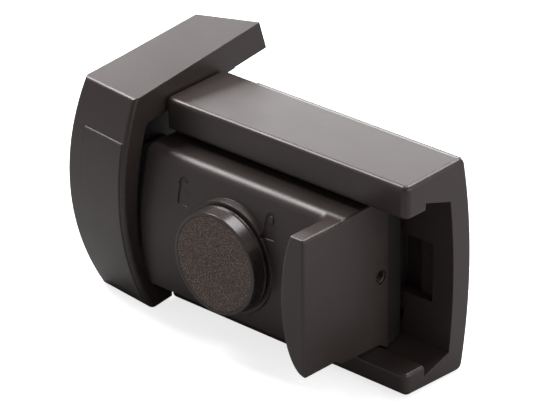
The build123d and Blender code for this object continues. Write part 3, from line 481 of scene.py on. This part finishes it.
def make_knob():
    """The knob with its side leaning in towards the face, a foot, rounded rims and a seat for the insert."""
    radius = (knob_high.x - knob_low.x) / 2
    face_radius = radius - knob_lean
    foot = knob_high.y - knob_foot_height
    deselect()
    bpy.ops.mesh.primitive_cylinder_add(
        vertices=knob_steps,
        radius=radius,
        depth=knob_high.y - knob_low.y,
        location=knob_centre,
        rotation=(pi / 2, 0, 0),
    )
    shell = settle(bpy.context.object, "knob_shell")
    bpy.ops.object.mode_set(mode="EDIT")

    def move(offset):
        bpy.ops.mesh.extrude_region_move(TRANSFORM_OT_translate={"value": (0, offset, 0)})

    choose(shell, "FACE", is_front)
    bpy.ops.transform.translate(value=(0, foot - knob_low.y, 0))
    bpy.ops.mesh.inset(thickness=knob_foot_step)
    move(knob_low.y - foot)
    lean = face_radius / (radius - knob_foot_step)
    bpy.ops.transform.resize(value=(lean, 1, lean), center_override=knob_centre)
    bpy.ops.mesh.inset(thickness=face_radius - insert_radius - knob_seat_gap)
    move(insert_high.y - knob_low.y)
    rims = [knob_low.y, foot, knob_high.y]

    def is_rim(edge):
        ends = [shell.data.vertices[index].co for index in edge.vertices]
        level = any(all(abs(end.y - rim) < same_level for end in ends) for rim in rims)
        return level and all(off_axis(end, knob_centre) > insert_radius + rim_margin for end in ends)

    choose(shell, "EDGE", is_rim)
    bpy.ops.mesh.bevel(offset=knob_rim_round / 2, segments=rim_steps, profile=0.5)
    bpy.ops.object.mode_set(mode="OBJECT")
    set_right(shell)
    smooth(shell, angle=50)
    shell.data.materials.append(knob_paint)
    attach(shell, "knob_set")
    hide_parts("knob")


def make_insert():
    """A disc whose face is divided finely and raised into a coarse grain."""
    middle = (insert_low + insert_high) / 2
    thickness = insert_high.y - insert_low.y
    ring_width = insert_radius / (grain_rings + 1)
    deselect()
    bpy.ops.mesh.primitive_cylinder_add(
        vertices=grain_steps,
        radius=insert_radius,
        depth=thickness,
        location=middle,
        rotation=(pi / 2, 0, 0),
    )
    disc = settle(bpy.context.object, "knob_grain")
    bpy.ops.object.mode_set(mode="EDIT")
    choose(disc, "FACE", is_front)
    for ring in range(grain_rings):
        bpy.ops.mesh.inset(thickness=ring_width)
    bpy.ops.mesh.merge(type="CENTER")
    bpy.ops.object.mode_set(mode="OBJECT")

    def is_grained(corner):
        front = corner.y < insert_low.y + thickness / 10
        return front and off_axis(corner, middle) < insert_radius - plain_rings * ring_width

    face = disc.vertex_groups.new(name="face")
    face.add([vertex.index for vertex in disc.data.vertices if is_grained(vertex.co)], 1.0, "REPLACE")
    texture = bpy.data.textures.new("insert grain", "CLOUDS")
    texture.noise_scale = grain_size
    texture.noise_depth = grain_depth
    raised = disc.modifiers.new("grain", "DISPLACE")
    raised.texture = texture
    raised.texture_coords = "LOCAL"
    raised.direction = "Y"
    raised.vertex_group = "face"
    raised.strength = grain_height
    raised.mid_level = grain_level
    apply_modifiers(disc)
    smooth(disc, angle=60)
    disc.data.materials.append(finishes["grained_insert"])
    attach(disc, "knob_set")
    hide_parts("knob_insert")


def make_springs():
    """The two return springs, a copy of the model's own attached to the slide. In the lock they shorten
    against the guide plate as the locking plate is pushed back.
    """
    cad = frame["nodes"]["return_springs"]
    coils = bpy.data.objects.new("return_coils", cad.data.copy())
    bpy.context.scene.collection.objects.link(coils)
    set_right(coils)
    smooth(coils, angle=50)
    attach(coils, "slide")
    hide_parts("return_springs")
    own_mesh(coils)


# Camera and studio


def make_camera():
    """The camera that took the photograph, fitted to the lock's straight edges."""
    sine, cosine = sin(camera_elevation), cos(camera_elevation)
    ahead = Vector((-sin(camera_azimuth) * cosine, cos(camera_azimuth) * cosine, -sine))
    deselect()
    bpy.ops.object.camera_add(location=camera_aim - ahead * camera_distance)
    camera = bpy.context.object
    camera.name = "photo_camera"
    turn = ahead.to_track_quat("-Z", "Y").to_matrix() @ Matrix.Rotation(-camera_roll, 3, "Z")
    camera.rotation_euler = turn.to_euler()
    camera.data.lens = camera_lens
    camera.data.sensor_width = camera_sensor
    camera.data.clip_start = camera_near
    camera.data.clip_end = camera_far
    bpy.context.scene.camera = camera


def aim_lamp(name, azimuth, elevation, size, power):
    """A soft square lamp that stands round the lock and looks at its middle."""
    back = Vector((sin(radians(azimuth)), -cos(radians(azimuth)), tan(radians(elevation)))).normalized()
    middle = (cad_box[0] + cad_box[1]) / 2
    deselect()
    bpy.ops.object.light_add(type="AREA", location=middle + back * lamp_distance)
    lamp = bpy.context.object
    lamp.name = name
    lamp.rotation_euler = (-back).to_track_quat("-Z", "Y").to_euler()
    lamp.data.shape = "SQUARE"
    lamp.data.size = size
    lamp.data.energy = power


def camera_only(tree, felt, seen):
    """Shows one shader to the camera, and lights the lock with the other."""
    path = tree.nodes.new("ShaderNodeLightPath")
    links = {"Fac": path.outputs["Is Camera Ray"], 1: felt.outputs[0], 2: seen.outputs[0]}
    return node(tree, "ShaderNodeMixShader", links).outputs[0]


def make_studio():
    """Five lamps in a grey room that the camera sees white."""
    aim_lamp("back_softbox", azimuth=226, elevation=12, size=0.5, power=3.6)
    aim_lamp("top_softbox", azimuth=-90, elevation=51, size=0.34, power=5.6)
    aim_lamp("high_softbox", azimuth=178, elevation=60, size=0.4, power=5.6)
    aim_lamp("front_fill", azimuth=-30, elevation=10, size=0.8, power=0.7)
    aim_lamp("right_fill", azimuth=100, elevation=10, size=0.8, power=4.0)
    world = bpy.data.worlds.new("studio")
    bpy.context.scene.world = world
    world.use_nodes = True
    tree = world.node_tree
    tree.nodes.clear()
    grey = node(tree, "ShaderNodeBackground", {"Color": (1, 1, 1, 1), "Strength": studio_grey})
    white = node(tree, "ShaderNodeBackground", {"Color": (1, 1, 1, 1), "Strength": 1.0})
    node(tree, "ShaderNodeOutputWorld", {"Surface": camera_only(tree, grey, white)})
    bpy.context.scene.view_settings.view_transform = "Standard"


def make_floor():
    """A floor that the camera sees nearly white, with the lock's soft shadow on it."""
    deselect()
    bpy.ops.mesh.primitive_plane_add(size=floor_size, location=(0, 0, cad_box[0].z))
    floor = settle(bpy.context.object, "studio_floor")
    material = bpy.data.materials.new("pale floor")
    material.use_nodes = True
    tree = material.node_tree
    tree.nodes.clear()
    matt = node(tree, "ShaderNodeBsdfDiffuse", {"Color": (floor_white, floor_white, floor_white, 1)})
    glow = node(tree, "ShaderNodeEmission", {"Color": (1, 1, 1, 1), "Strength": floor_glow})
    seen = node(tree, "ShaderNodeAddShader", {0: matt.outputs[0], 1: glow.outputs[0]})
    felt = node(tree, "ShaderNodeBsdfDiffuse", {"Color": (floor_grey, floor_grey, floor_grey, 1)})
    node(tree, "ShaderNodeOutputMaterial", {"Surface": camera_only(tree, felt, seen)})
    floor.data.materials.append(material)


make_thread()
make_knob()
make_insert()
make_springs()
make_camera()
make_studio()
make_floor()
